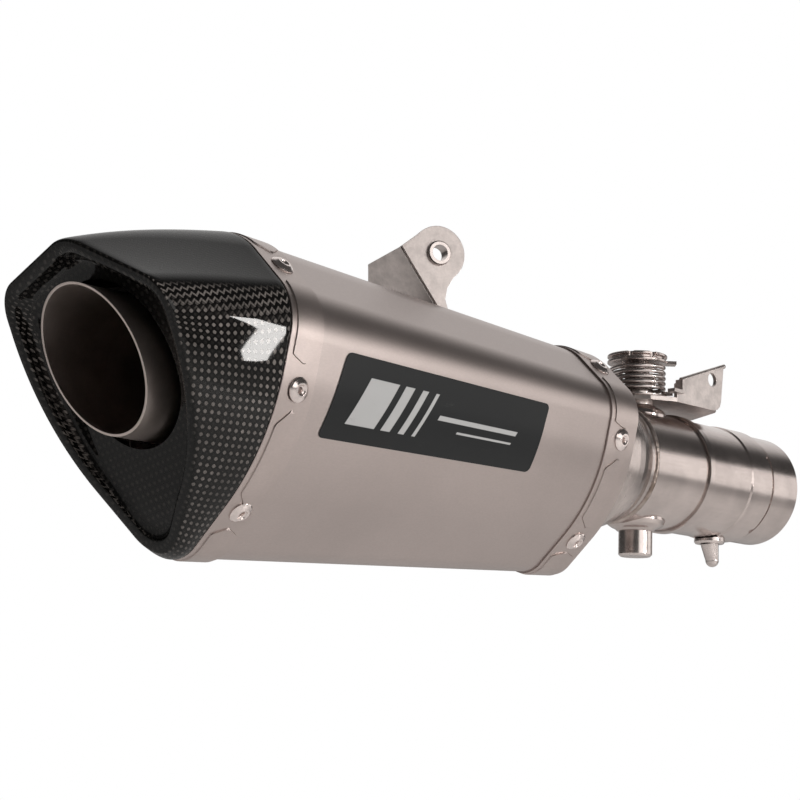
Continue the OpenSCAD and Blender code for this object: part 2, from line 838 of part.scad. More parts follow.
module hanger_rivets() {
    color([0.8, 0.78, 0.76])
    for (p = hanger_rivets_at)
        hanger_frame()
            translate([p[0], p[1], bracket_t - 0.5 + 0.04])
                rivet(3.8);
}

// plain decal on the near flank, no lettering: rows of a slanted patch that follow the taper
module label() {
    rows = [24.2, 23.6, 22.4, 20.6, 16, 12, 8, 4, 0, -4, -8, -12, -14.4, -16.2, -17.4, -18];
    inset = [3, 1.2, 0.3, 0];
    last = len(rows) - 1;
    function edge(i) = inset[min(3, min(i, last - i))];
    function side(t, off) = let(r = ring(body_corners, body_rounds, off))
        lookup(t, [for (i = [40:-1:16]) [r[i][1], r[i][0]]]);
    function at(s, t, off) = let(p = rolled([side(t, off), t] * scale_at(s), roll, 0))
        [-s, p[0], p[1]];
    function row(i) = let(t = rows[i], s0 = 253.3 - 0.09 * t + edge(i), s1 = 407 - 0.16 * t - edge(i))
        [at(s0, t, 0.1), at(s0, t, 0.4), at(s1, t, 0.4), at(s1, t, 0.1)];
    color([0.05, 0.05, 0.05])
    solid_skin([for (i = [0:last]) row(i)]);
}

// ---- assembly ----------------------------------------------------------------------------

end_cap();
outlet_pipe();
rear_bulkhead();
outer_sleeve();
rear_band();
front_band();
rear_rivets();
front_rivets();
perforated_core();
packing();
inlet_cap();
neck_weld();
valve_body();
mid_weld();
inlet_shell();
inlet_sleeve();
upper_housing();
lower_housing();
upper_bush();
lower_bush();
spindle();
flap();
flap_screws();
cable_wheel();
wheel_nut();
return_spring();
spring_seat();
cable_bracket();
sampling_nipple();
hanger_bracket();
hanger_bush();
hanger_rivets();
label();
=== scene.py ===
"""Racing exhaust system: finer shapes, materials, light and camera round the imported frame.

Metres, in the frame of the CAD model: origin at the inlet mouth, +X out of the mouth,
the silencer towards -X, +Z along the valve spindle, -Y the near side.
"""

import json
import math

import bmesh
import bpy
import numpy as np
from mathutils import Matrix, Vector


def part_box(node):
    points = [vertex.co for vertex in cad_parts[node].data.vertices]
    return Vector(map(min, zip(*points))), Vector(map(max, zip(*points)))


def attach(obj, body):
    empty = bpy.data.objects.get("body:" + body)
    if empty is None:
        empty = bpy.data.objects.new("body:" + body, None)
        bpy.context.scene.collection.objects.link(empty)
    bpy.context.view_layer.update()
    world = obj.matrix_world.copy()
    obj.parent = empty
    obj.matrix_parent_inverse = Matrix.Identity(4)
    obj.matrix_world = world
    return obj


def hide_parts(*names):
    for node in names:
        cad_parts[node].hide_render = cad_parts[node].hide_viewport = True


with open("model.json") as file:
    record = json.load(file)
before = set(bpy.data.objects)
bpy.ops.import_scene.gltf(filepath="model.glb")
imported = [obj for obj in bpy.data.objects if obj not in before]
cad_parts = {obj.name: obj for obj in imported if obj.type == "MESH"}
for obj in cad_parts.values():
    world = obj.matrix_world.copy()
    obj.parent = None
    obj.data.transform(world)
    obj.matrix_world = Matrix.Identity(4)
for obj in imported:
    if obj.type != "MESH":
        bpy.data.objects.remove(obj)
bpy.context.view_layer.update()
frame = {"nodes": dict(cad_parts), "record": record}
MM = 0.001

# ---- camera ------------------------------------------------------------------------------

VIEW_TURN = math.radians(46.1)  # from the -Y side towards the outlet
VIEW_RISE = math.radians(-9.95)  # the camera looks up from below the axis
VIEW_ROLL = math.radians(1.7)
VIEW_DISTANCE = 1.196
VIEW_CENTRE = Vector((-0.2, 0, 0))
VIEW_SIDE, VIEW_UP = -0.07456, 0.0264  # where the centre sits in the frame
LENS_MM = 100


def add_camera():
    camera = bpy.data.objects.new("camera", bpy.data.cameras.new("camera"))
    bpy.context.collection.objects.link(camera)
    camera.data.lens = LENS_MM
    camera.data.sensor_width = 36
    camera.data.clip_start = 0.05
    flat = math.cos(VIEW_RISE)
    back = Vector((-math.sin(VIEW_TURN) * flat, -math.cos(VIEW_TURN) * flat, math.sin(VIEW_RISE)))
    right = Vector((math.cos(VIEW_TURN), -math.sin(VIEW_TURN), 0))
    up = back.cross(right)
    side = right * math.cos(VIEW_ROLL) + up * math.sin(VIEW_ROLL)
    top = up * math.cos(VIEW_ROLL) - right * math.sin(VIEW_ROLL)
    place = VIEW_CENTRE + side * VIEW_SIDE + top * VIEW_UP + back * VIEW_DISTANCE
    camera.matrix_world = Matrix.Translation(place) @ Matrix((side, top, back)).transposed().to_4x4()
    bpy.context.scene.camera = camera


add_camera()

# ---- light and floor ---------------------------------------------------------------------

FLOOR_Z = -0.45
SKY_FROM = (0.582, 0.562, 0.588)  # the middle of the soft light from the far side
ROOM_LIGHT, SKY_LIGHT = 0.065, 0.90
SKY_EDGE, SKY_CORE = 0.66, 0.97  # cosines from SKY_FROM between which the soft light fades in
LAMP_COLOUR = (1, 0.975, 0.95)


def add_world():
    """A dim room with soft light from the far side; plain white to the camera."""
    world = bpy.data.worlds.new("studio")
    bpy.context.scene.world = world
    world.use_nodes = True
    tree = world.node_tree
    tree.nodes.clear()
    place = tree.nodes.new("ShaderNodeTexCoord")
    toward = tree.nodes.new("ShaderNodeVectorMath")
    toward.operation = "DOT_PRODUCT"
    toward.inputs[1].default_value = Vector(SKY_FROM).normalized()
    ramp = tree.nodes.new("ShaderNodeMapRange")
    ramp.interpolation_type = "SMOOTHERSTEP"
    ramp.inputs["From Min"].default_value = SKY_EDGE
    ramp.inputs["From Max"].default_value = SKY_CORE
    ramp.inputs["To Min"].default_value = ROOM_LIGHT
    ramp.inputs["To Max"].default_value = SKY_LIGHT
    room = tree.nodes.new("ShaderNodeBackground")
    room.inputs["Color"].default_value = (1.0, 0.985, 0.97, 1)
    seen = tree.nodes.new("ShaderNodeBackground")
    seen.inputs["Color"].default_value = (1, 1, 1, 1)
    path = tree.nodes.new("ShaderNodeLightPath")
    mix = tree.nodes.new("ShaderNodeMixShader")
    out = tree.nodes.new("ShaderNodeOutputWorld")
    link = tree.links.new
    link(place.outputs["Generated"], toward.inputs[0])
    link(toward.outputs["Value"], ramp.inputs["Value"])
    link(ramp.outputs["Result"], room.inputs["Strength"])
    link(path.outputs["Is Camera Ray"], mix.inputs["Fac"])
    link(room.outputs[0], mix.inputs[1])
    link(seen.outputs[0], mix.inputs[2])
    link(mix.outputs[0], out.inputs["Surface"])


def add_softbox(name, place, aim, size, radiance, mirrored=True, turn=0):
    """Soft box; mirrored says whether glossy surfaces show it, turn rolls it about its aim."""
    light = bpy.data.lights.new(name, "AREA")
    light.shape = "RECTANGLE"
    light.size, light.size_y = size
    light.energy = radiance * math.pi * size[0] * size[1]
    light.color = LAMP_COLOUR
    box = bpy.data.objects.new(name, light)
    bpy.context.collection.objects.link(box)
    box.location = place
    facing = (Vector(aim) - Vector(place)).to_track_quat("-Z", "Y").to_matrix()
    box.rotation_euler = (facing @ Matrix.Rotation(math.radians(turn), 3, "Z")).to_euler()
    box.visible_camera = False
    box.visible_glossy = mirrored


def add_floor():
    bpy.ops.mesh.primitive_circle_add(vertices=96, radius=4, fill_type="NGON", location=(0, 0, FLOOR_Z))
    floor = bpy.context.object
    floor.name = "floor"
    return floor


bpy.context.scene.view_settings.view_transform = "Standard"
add_world()
add_softbox("key", (1.17, -0.80, 0.16), (-0.15, 0, 0.02), (0.95, 0.70), 1.15)
add_softbox("window", (0.280, -1.128, 0.036), (-0.46, -0.06, 0.01), (0.095, 0.40), 32, turn=20)
add_softbox("front", (-0.45, -2.0, 0.35), (-0.35, 0, 0), (1.3, 0.9), 1.75)
add_softbox("overhead", (-0.5, -0.5, 1.6), (-0.3, 0, 0), (2.2, 1.8), 1.6, mirrored=False)
floor = add_floor()

# ---- sections ----------------------------------------------------------------------------
# The silencer's six-sided section, its taper and the moulded cap, as in the CAD model, in mm.

SEAM, NOSE = 442, 175
NOSE_SCALE = 0.79
TAPER = (1 - NOSE_SCALE) / (SEAM - NOSE)
ROLL = math.radians(10)
FACE_ROLL, FACE_SHIFT = math.radians(4.7), 2.2
FACE_TILT = math.radians(29.6)
FACE_S, FACE_SLANT = 498.7, math.tan(FACE_TILT)
SHEET, CARBON = 1.0, 1.9
BULGE = 0.8
RECESS, LIP, HOLE_R = 10, 5.5, 35.6
ARC_STEPS, FLAT_STEPS = (8, 6, 8, 8, 8, 6), (6, 4, 6, 6, 4, 6)
FINE = 6  # ring points for each step of the CAD ring


def shield(ridge, shoulder_w, shoulder_h, flank_w, flank_h, keel):
    return np.array([(0, ridge), (shoulder_w, shoulder_h), (flank_w, -flank_h), (0, -keel),
                     (-flank_w, -flank_h), (-shoulder_w, shoulder_h)], float)


BODY = shield(77.5, 56.3, 40, 53.4, 26.2, 93.3)
BODY_ROUNDS = np.array([41, 27, 110, 18.6, 110, 27])
FACE = shield(51, 54.3, 29.8, 55.2, 25, 89.5)
FACE_ROUNDS = np.array([23.4, 16.4, 100, 18.6, 100, 16.4])


def unit(v):
    return v / np.linalg.norm(v)


def corner(v, r, i, off, steps):
    u = unit(v[(i + 5) % 6] - v[i])
    w = unit(v[(i + 1) % 6] - v[i])
    half = math.acos(float(u @ w)) / 2
    centre = v[i] + unit(u + w) * r / math.sin(half)
    start = v[i] + u * r / math.tan(half) - centre
    a0 = math.atan2(start[1], start[0])
    a = a0 - (math.pi - 2 * half) * np.linspace(0, 1, steps + 1)
    return centre + (r + off) * np.stack([np.cos(a), np.sin(a)], 1)


def ring(v, rounds, off):
    """Closed ring of [side, up] points, clockwise from the ridge."""
    arcs = [corner(v, rounds[i], i, off, ARC_STEPS[i] * FINE) for i in range(6)]
    parts = []
    for i in range(6):
        end, start = arcs[i][-1], arcs[(i + 1) % 6][0]
        share = np.linspace(0, 1, FLAT_STEPS[i] * FINE, endpoint=False)[:, None]
        parts += [arcs[i][:-1], end + (start - end) * share]
    return np.concatenate(parts)


BASE = ring(BODY, BODY_ROUNDS, 0)
NORMAL = ring(BODY, BODY_ROUNDS, 1) - BASE
COUNT = len(BASE)


def rolled(p, a, shift=0.0):
    """[side, up] points turned into world [y, z]."""
    p = np.asarray(p, float)
    y = -(p[..., 0] * math.cos(a) + p[..., 1] * math.sin(a)) + shift
    z = -p[..., 0] * math.sin(a) + p[..., 1] * math.cos(a)
    return np.stack([y, z], -1)


def scale_at(s):
    return 1 - (SEAM - s) * TAPER


def body_ring(s, off):
    """Ring of the tapered body; s and off may differ from point to point."""
    s = np.broadcast_to(np.asarray(s, float), (COUNT,))
    off = np.broadcast_to(np.asarray(off, float), (COUNT,))
    yz = rolled(BASE * scale_at(s)[:, None] + NORMAL * off[:, None], ROLL)
    return np.column_stack([-s, yz])


def face_x(z):
    return -FACE_S - FACE_SLANT * z


def wall_ring(t, off):
    """Ring of the moulded cap wall: t is 0 at the seam and 1 at the face."""
    off = off + SHEET + BULGE * math.sin(math.pi * t)
    points = ring(BODY + (FACE - BODY) * t, BODY_ROUNDS + (FACE_ROUNDS - BODY_ROUNDS) * t, off)
    yz = rolled(points, ROLL + (FACE_ROLL - ROLL) * t, FACE_SHIFT * t)
    x = -(SEAM + 0.5) * (1 - t) + face_x(yz[:, 1]) * t
    return np.column_stack([x, yz])


def floor_ring(q, depth, extra=0.0):
    """Ring inside the face: q is 0 at the lip and 1 at the pipe hole."""
    lip = wall_ring(1, -LIP)
    a = np.arctan2(lip[:, 2], lip[:, 1])
    y = lip[:, 1] * (1 - q) + HOLE_R * np.cos(a) * q
    z = lip[:, 2] * (1 - q) + HOLE_R * np.sin(a) * q
    full = RECESS * np.clip(1 + (z + 15) / 75, 0.4, 1)
    return np.column_stack([face_x(z) + full * depth + extra, y, z])


# ---- mesh helpers ------------------------------------------------------------------------


def smooth_through(rings, steps):
    """Catmull-Rom rings through the given ones."""
    rings = np.asarray(rings)
    last = len(rings) - 1
    result = []
    for i in range(last):
        a, b, c, d = (rings[min(max(i + k, 0), last)] for k in (-1, 0, 1, 2))
        for t in np.linspace(0, 1, steps, endpoint=False):
            result.append(0.5 * (2 * b + (c - a) * t + (2 * a - 5 * b + 4 * c - d) * t * t
                                 + (3 * b - 3 * c + d - a) * t ** 3))
    result.append(rings[-1])
    return result


def grid_mesh(name, rings, wrap_rings=False, wrap_points=True, caps=False, uv=None, sharp=35):
    """Mesh through rings of points in mm. uv(i, j) gives a corner's map place for ring i, point j."""
    rows, count = len(rings), len(rings[0])
    verts = np.concatenate(rings) * MM
    faces, places = [], []
    for i in range(rows if wrap_rings else rows - 1):
        for j in range(count if wrap_points else count - 1):
            corners = ((i, j), (i, j + 1), (i + 1, j + 1), (i + 1, j))
            faces.append([(a % rows) * count + b % count for a, b in corners])
            places.append(corners)
    if caps:
        faces.append(list(range(count))[::-1])
        places.append([(0, j) for j in range(count)][::-1])
        faces.append([(rows - 1) * count + j for j in range(count)])
        places.append([(rows - 1, j) for j in range(count)])
    mesh = bpy.data.meshes.new(name)
    mesh.from_pydata(verts.tolist(), [], faces)
    if uv:
        layer = mesh.uv_layers.new(name="surface")
        for face, corners in zip(mesh.polygons, places):
            for loop, (i, j) in zip(face.loop_indices, corners):
                layer.data[loop].uv = uv(i, j)
    work = bmesh.new()
    work.from_mesh(mesh)
    bmesh.ops.recalc_face_normals(work, faces=work.faces)
    work.to_mesh(mesh)
    work.free()
    mesh.shade_smooth()
    mesh.set_sharp_from_angle(angle=math.radians(sharp))
    piece = bpy.data.objects.new(name, mesh)
    bpy.context.collection.objects.link(piece)
    return piece


def stands_for(piece, node, body="silencer"):
    """The piece replaces a CAD node, or is added to the body when node is None."""
    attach(piece, body)
    if node:
        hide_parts(node)
    return piece


def sweep(name, path, radius, sides=16):
    """Round tube along a path in mm."""
    path = np.asarray(path, float)
    step = np.gradient(path, axis=0)
    step /= np.linalg.norm(step, axis=1)[:, None]
    side = np.cross(step, (0, 0, 1))
    side /= np.linalg.norm(side, axis=1)[:, None]
    over = np.cross(side, step)
    radius = np.broadcast_to(radius, (len(path),))
    a = np.linspace(0, 2 * math.pi, sides, endpoint=False)
    rings = [path[i] + radius[i] * (np.outer(np.cos(a), side[i]) + np.outer(np.sin(a), over[i]))
             for i in range(len(path))]
    return grid_mesh(name, rings, caps=True)


# ---- materials ---------------------------------------------------------------------------


class Surface:
    """A Principled material with short ways to add its nodes."""

    def __init__(self, name, colour, metallic, rough):
        self.material = bpy.data.materials.new(name)
        self.material.use_nodes = True
        self.tree = self.material.node_tree
        self.shader = self.tree.nodes["Principled BSDF"]
        self.shader.inputs["Base Color"].default_value = (*colour, 1)
        self.shader.inputs["Metallic"].default_value = metallic
        self.shader.inputs["Roughness"].default_value = rough

    def add(self, kind, *inputs, **settings):
        """New node; inputs are sockets, numbers or None, in the node's own order."""
        node = self.tree.nodes.new(kind)
        for key, value in settings.items():
            setattr(node, key, value)
        for i, value in enumerate(inputs):
            if isinstance(value, bpy.types.NodeSocket):
                self.tree.links.new(value, node.inputs[i])
            elif value is not None:
                node.inputs[i].default_value = value
        return node

    def math(self, operation, *inputs):
        return self.add("ShaderNodeMath", *inputs, operation=operation).outputs[0]

    def ramp(self, value, low, high, to_low=0.0, to_high=1.0, kind="SMOOTHSTEP"):
        node = self.add("ShaderNodeMapRange", value, low, high, to_low, to_high, interpolation_type=kind)
        return node.outputs["Result"]

    def blend(self, share, first, second):
        node = self.add("ShaderNodeMix", data_type="RGBA")
        for key, value in ((0, share), (6, first), (7, second)):
            if isinstance(value, bpy.types.NodeSocket):
                self.tree.links.new(value, node.inputs[key])
            else:
                node.inputs[key].default_value = (*value, 1) if isinstance(value, tuple) else value
        return node.outputs[2]

    def noise(self, scale, stretch=(1, 1, 1), detail=3.0, rough=0.55):
        place = self.add("ShaderNodeTexCoord").outputs["Object"]
        spread = self.add("ShaderNodeMapping", place)
        spread.inputs["Scale"].default_value = stretch
        node = self.add("ShaderNodeTexNoise", spread.outputs[0])
        node.inputs["Scale"].default_value = scale
        node.inputs["Detail"].default_value = detail
        node.inputs["Roughness"].default_value = rough
        return node.outputs["Fac"]

    def set(self, **values):
        for key, value in values.items():
            socket = self.shader.inputs[key.replace("_", " ")]
            if isinstance(value, bpy.types.NodeSocket):
                self.tree.links.new(value, socket)
            else:
                socket.default_value = value

    def relief(self, height, depth_mm, edge_mm=0.0):
        """Bump of the given depth over shading rounded at the edges."""
        base = self.add("ShaderNodeBevel", edge_mm * MM, samples=4).outputs[0] if edge_mm else None
        bump = self.add("ShaderNodeBump")
        bump.inputs["Strength"].default_value = 1.0
        bump.inputs["Distance"].default_value = depth_mm * MM
        self.tree.links.new(height, bump.inputs["Height"])
        if base:
            self.tree.links.new(base, bump.inputs["Normal"])
        self.set(Normal=bump.outputs[0])
        return base


def metal(name, colour, rough, spread=0.08, streak=(1, 1, 1), grain=900, depth=0.012, edge=0.0,
          stain=0.10, tint=None, blotch=30, flow=0.0):
    """Metal with fine grain, uneven polish, light stains and worn edges; flow brushes it round X."""
    look = Surface(name, colour, 1.0, rough)
    fine = look.noise(grain, streak, 4.0, 0.6)
    cloud = look.noise(blotch, (1, 1, 1), 5.0, 0.6)
    darker = tuple(c * (1 - 2.2 * stain) for c in (tint or colour))
    lighter = tuple(min(1, c * (1 + stain)) for c in colour)
    tone = look.blend(look.ramp(cloud, 0.28, 0.68), darker, lighter)
    tone = look.blend(look.ramp(fine, 0.25, 0.75, 0.0, 0.22), tone, tuple(c * 0.72 for c in colour))
    uneven = look.math("MULTIPLY_ADD", fine, spread, rough - spread / 2)
    uneven = look.math("MULTIPLY_ADD", cloud, spread * 1.4, uneven)
    uneven = look.math("SUBTRACT", uneven, spread * 0.7)
    base = look.relief(fine, depth, edge)
    if base:
        flat = look.add("ShaderNodeNewGeometry").outputs["Normal"]
        turn = look.add("ShaderNodeVectorMath", base, flat, operation="DOT_PRODUCT").outputs["Value"]
        worn = look.ramp(turn, 0.985, 0.90)
        tone = look.blend(worn, tone, tuple(min(1, c * 1.25) for c in colour))
        uneven = look.math("MULTIPLY_ADD", worn, -0.08, uneven)
    look.set(Base_Color=tone, Roughness=uneven)
    if flow:
        round_x = look.add("ShaderNodeTangent", direction_type="RADIAL", axis="X")
        look.set(Anisotropic=flow, Tangent=round_x.outputs[0])
    return look.material


WEAVE_PITCH = 3.75  # dot to dot; the tows run at 45 degrees to the rows of dots
WEAVE_TURN = 12


def carbon():
    """Clear-coated plain weave, with its tows at 45 degrees; the tows' glints are painted into the base
    colour as bright dots and zigzags, set by which way the surface faces.
    """
    look = Surface("carbon_weave_painted_glint", (0.008, 0.008, 0.009), 0.0, 0.34)
    place = look.add("ShaderNodeUVMap", uv_map="surface").outputs[0]
    turn = look.add("ShaderNodeMapping", place)
    turn.inputs["Rotation"].default_value = (0, 0, math.radians(45 + WEAVE_TURN))
    turn.inputs["Scale"].default_value = [math.sqrt(2) / (WEAVE_PITCH * MM)] * 3
    wobble = look.noise(60, (1, 1, 1), 2.0)
    split = look.add("ShaderNodeSeparateXYZ", turn.outputs[0])
    a = look.math("MULTIPLY_ADD", wobble, 0.18, split.outputs[0])
    b = look.math("MULTIPLY_ADD", wobble, -0.18, split.outputs[1])
    across, along = look.math("FRACT", a), look.math("FRACT", b)
    cells = look.math("ADD", look.math("FLOOR", a), look.math("FLOOR", b))
    odd = look.math("ABSOLUTE", look.math("MODULO", cells, 2.0))
    hump_a = look.math("SINE", look.math("MULTIPLY", across, math.pi))
    hump_b = look.math("SINE", look.math("MULTIPLY", along, math.pi))
    hump = look.math("MULTIPLY", hump_a, hump_b)
    # painted highlight: a bright dot where each upper tow would glint, and a faint glint on the lower tows
    glint_dot = look.math("MULTIPLY", look.ramp(hump, 0.22, 0.72), look.math("SUBTRACT", 1.0, odd))
    under_tow_glint = look.math("MULTIPLY", look.ramp(hump, 0.1, 1.0, 0.0, 0.07), odd)
    glint_dot = look.math("ADD", glint_dot, under_tow_glint)
    # painted highlight: glint lines along the tows that join into zigzags
    glint_bar = [look.ramp(look.math("ABSOLUTE", look.math("SUBTRACT", f, at)), 0.24, 0.08)
           for f, at in ((along, 0.22), (across, 0.78))]
    even_glint_bar = look.math("MULTIPLY", glint_bar[0], look.math("SUBTRACT", 1.0, odd))
    glint_zigzag = look.math("ADD", even_glint_bar, look.math("MULTIPLY", glint_bar[1], odd))
    # painted light and shade: the painted glints turn from dots to zigzags on faces turned up, and fade on
    # faces turned steeply up, on faces turned down and on faces turned towards -X
    facing = look.add("ShaderNodeNewGeometry").outputs["Normal"]
    facing = look.add("ShaderNodeSeparateXYZ", facing)
    rise = facing.outputs[2]
    glint_zigzag_facing = look.ramp(rise, -0.10, 0.28)
    painted_glint = look.math("ADD", look.math("MULTIPLY", glint_dot, look.math("SUBTRACT", 1.0, glint_zigzag_facing)),
                    look.math("MULTIPLY", glint_zigzag, look.math("MULTIPLY", glint_zigzag_facing, 0.75)))
    glint_facing_fade = look.math("MULTIPLY", look.ramp(rise, 0.62, 0.42), look.ramp(rise, -0.95, -0.35, 0.35, 1.0))
    glint_facing_fade = look.math("MULTIPLY", glint_facing_fade, look.ramp(facing.outputs[0], -0.88, -0.5, 0.10, 1.0))
    patchy = look.ramp(look.noise(45, (1, 1, 1), 3.0), 0.3, 0.7, 0.45, 1.0)
    painted_glint = look.math("MULTIPLY", look.math("MULTIPLY", painted_glint, glint_facing_fade), patchy)
    # the painted glints lift the near-black base colour to grey
    look.set(Base_Color=look.blend(painted_glint, (0.004, 0.0038, 0.0036), (0.25, 0.225, 0.21)))
    look.set(Roughness=look.math("MULTIPLY_ADD", look.noise(700), 0.16, 0.42))
    look.relief(hump, 0.05)
    look.set(Coat_Weight=0.45, Coat_Roughness=0.035, Coat_IOR=1.52, Specular_IOR_Level=0.02)
    return look.material


def label_film():
    """Satin black heat-proof film with plain slanted bars."""
    look = Surface("label_film", (0.012, 0.012, 0.013), 0.0, 0.38)
    place = look.add("ShaderNodeUVMap", uv_map="surface").outputs[0]
    split = look.add("ShaderNodeSeparateXYZ", place)
    along = look.math("DIVIDE", split.outputs[0], MM)
    up = look.math("DIVIDE", split.outputs[1], MM)
    lean = look.math("MULTIPLY_ADD", up, 0.45, along)

    def between(value, low, high, soft=0.18):
        return look.math("MULTIPLY", look.ramp(value, low - soft, low + soft),
                         look.ramp(value, high + soft, high - soft))

    tall = between(up, -9.5, 14.5)
    bars = look.math("MULTIPLY", between(lean, 371, 391), tall)
    for start, width in ((360, 6.5), (350, 4.2), (342, 2.4)):
        bars = look.math("MAXIMUM", bars, look.math("MULTIPLY", between(lean, start, start + width), tall))
    for low, high, end in ((1.2, 3.8, 334), (-4.2, -3.0, 316)):
        line = look.math("MULTIPLY", between(up, low, high), between(lean, 274, end))
        bars = look.math("MAXIMUM", bars, line)
    scuff = look.ramp(look.noise(260, (0.3, 1, 1), 6.0, 0.7), 0.62, 0.78, 0.0, 0.35)
    tone = look.blend(bars, (0.010, 0.011, 0.012), (0.52, 0.52, 0.52))
    tone = look.blend(scuff, tone, (0.05, 0.05, 0.05))
    look.set(Base_Color=tone)
    look.set(Roughness=look.math("MULTIPLY_ADD", look.noise(900), 0.14, 0.27))
    look.relief(look.noise(500, (1, 1, 1), 3.0), 0.01)
    look.set(Specular_IOR_Level=0.25)
    return look.material


def wool():
    """Packed glass fibre."""
    look = Surface("glass_wool", (0.85, 0.80, 0.62), 0.0, 0.9)
    strands = look.noise(420, (0.15, 1, 1), 8.0, 0.75)
    look.set(Base_Color=look.blend(look.ramp(strands, 0.3, 0.7), (0.62, 0.56, 0.40), (0.93, 0.89, 0.76)))
    look.set(Roughness=look.math("MULTIPLY_ADD", strands, 0.15, 0.8))
    look.relief(strands, 0.6)
    return look.material


def pale_floor():
    look = Surface("pale_floor", (0.84, 0.835, 0.83), 0.0, 0.75)
    mottle = look.noise(3, (1, 1, 1), 4.0)
    look.set(Base_Color=look.blend(mottle, (0.82, 0.815, 0.81), (0.86, 0.855, 0.85)))
    look.set(Emission_Color=(1, 0.98, 0.96, 1), Emission_Strength=0.10)
    return look.material


ALONG = (0.06, 1, 1)  # grain drawn out along the tube
AROUND = (1, 0.1, 0.1)  # grain drawn out round the tube
LOOKS = {
    "carbon": carbon(),
    "titanium": metal("titanium_satin", (0.49, 0.423, 0.402), 0.36, 0.06, (0.4, 1, 1), 1500, 0.004,
                      stain=0.03, blotch=9),
    "titanium_band": metal("titanium_strap", (0.52, 0.447, 0.423), 0.37, 0.07, (0.4, 1, 1), 1400, 0.005,
                           stain=0.05, blotch=24),
    "titanium_pipe": metal("titanium_brushed", (0.66, 0.575, 0.54), 0.38, 0.10, AROUND, 1500, 0.008,
                           edge=0.25, stain=0.04, blotch=26, tint=(0.60, 0.52, 0.47), flow=0.75),
    "stainless": metal("stainless_drawn", (0.60, 0.525, 0.500), 0.21, 0.10, ALONG, 1100, 0.010,
                       edge=0.25, stain=0.08, blotch=34),
    "stainless_formed": metal("stainless_pressed", (0.57, 0.50, 0.475), 0.25, 0.12, AROUND, 900, 0.014,
                              edge=0.3, stain=0.12, blotch=40),
    "weld": metal("weld_bead", (0.50, 0.43, 0.40), 0.34, 0.18, (1, 1, 1), 700, 0.03, stain=0.22,
                  blotch=90, tint=(0.40, 0.30, 0.24)),
    "rivet_steel": metal("rivet_bright", (0.80, 0.71, 0.68), 0.20, 0.12, (1, 1, 1), 1200, 0.008,
                         edge=0.2, stain=0.08, blotch=120),
    "bracket_steel": metal("steel_blasted", (0.66, 0.595, 0.57), 0.40, 0.26, (1, 1, 1), 900, 0.03,
                           edge=0.4, stain=0.14, blotch=90),
    "machined": metal("steel_turned", (0.68, 0.61, 0.585), 0.26, 0.10, (0.3, 0.3, 1), 1400, 0.003,
                      edge=0.1, stain=0.10, blotch=70),
    "spring_steel": metal("spring_wire", (0.70, 0.63, 0.605), 0.26, 0.10, (1, 1, 1), 1100, 0.004,
                          stain=0.12, blotch=90),
    "bearing": metal("bearing_bronze", (0.42, 0.31, 0.17), 0.42, 0.15, (1, 1, 1), 1000, 0.02, stain=0.18,
                     blotch=90),
    "flap_steel": metal("flap_tinted", (0.50, 0.44, 0.39), 0.36, 0.16, (1, 1, 1), 800, 0.015, edge=0.3,
                        stain=0.2, blotch=60, tint=(0.40, 0.28, 0.20)),
    "core_steel": metal("core_perforated", (0.50, 0.46, 0.42), 0.40, 0.15, AROUND, 800, 0.02, stain=0.2,
                        blotch=50),
    "fibre": wool(),
    "label_film": label_film(),
}
floor.data.materials.append(pale_floor())


def finish_with(piece, slot):
    piece.data.materials.clear()
    piece.data.materials.append(LOOKS[slot])


def dress_nodes():
    """Every CAD node takes the detailed look of its material slot."""
    for part in frame["record"]["subparts"]:
        node = frame["nodes"].get(part["node"])
        if node and node.type == "MESH":
            node.data.materials.clear()
            node.data.materials.append(LOOKS[part["material_slot"]])
            node.data.shade_smooth()
            node.data.set_sharp_from_angle(angle=math.radians(30))


dress_nodes()

# ---- cap ---------------------------------------------------------------------------------


LIP_STEPS = 6  # rings in each span of the rolled lip
ROLLED_SPANS = 7  # spans before the flat floor of the recess


def add_cap():
    """Moulded cap: outer wall, rolled lip, recess round the pipe and the inside of the wall."""
    wall = [wall_ring(t, 0) for t in np.linspace(0.012, 0.96, 30)]
    lip = smooth_through([wall_ring(0.96, 0), wall_ring(0.985, -0.25), wall_ring(0.997, -0.9),
                          wall_ring(1, -1.9), wall_ring(1, -3.6), floor_ring(0, 0.12), floor_ring(0.04, 0.55),
                          floor_ring(0.16, 0.9), floor_ring(0.4, 1), floor_ring(1, 1)], LIP_STEPS)
    back = [floor_ring(1, 1, CARBON), floor_ring(0.4, 1, CARBON)]
    back += [wall_ring(t, -CARBON) for t in (0.74, 0.5, 0.25, 0)]
    rim = [wall_ring(0, -0.5), wall_ring(0.004, -0.12)]
    rings = wall + lip[1:] + back + rim
    middle = wall_ring(0.5, 0)
    steps = np.linalg.norm(np.diff(np.vstack([middle, middle[:1]]), axis=0), axis=1)
    around = np.concatenate([[0], np.cumsum(steps)])
    out = np.zeros((len(rings), COUNT))
    for i in range(1, len(rings)):
        out[i] = out[i - 1] + np.linalg.norm(rings[i] - rings[i - 1], axis=1)
    face_start = len(wall) - 1 + ROLLED_SPANS * LIP_STEPS

    def place(i, j):
        if i < face_start:
            return around[j] * MM, out[i][j % COUNT] * MM
        i = min(i, len(rings) - 1)
        return rings[i][j % COUNT][1] * MM, rings[i][j % COUNT][2] * MM / math.cos(FACE_TILT)

    cap = grid_mesh("cap_moulded", rings, wrap_rings=True, uv=place, sharp=50)
    finish_with(cap, "carbon")
    stands_for(cap, "end_cap")


add_cap()

# ---- sleeve and bands --------------------------------------------------------------------


def add_sleeve():
    rows = np.linspace(NOSE + 0.6, SEAM - 0.4, 40)
    rings = [body_ring(s, 0) for s in rows] + [body_ring(s, -SHEET) for s in rows[::-1]]
    sleeve = grid_mesh("sleeve_sheet", rings, wrap_rings=True)
    finish_with(sleeve, "titanium")
    stands_for(sleeve, "outer_sleeve")


PANEL_LIFT = 0.62  # how far a pressed panel stands off its band
PANEL_POINT = 5.5  # ring points over which its end narrows


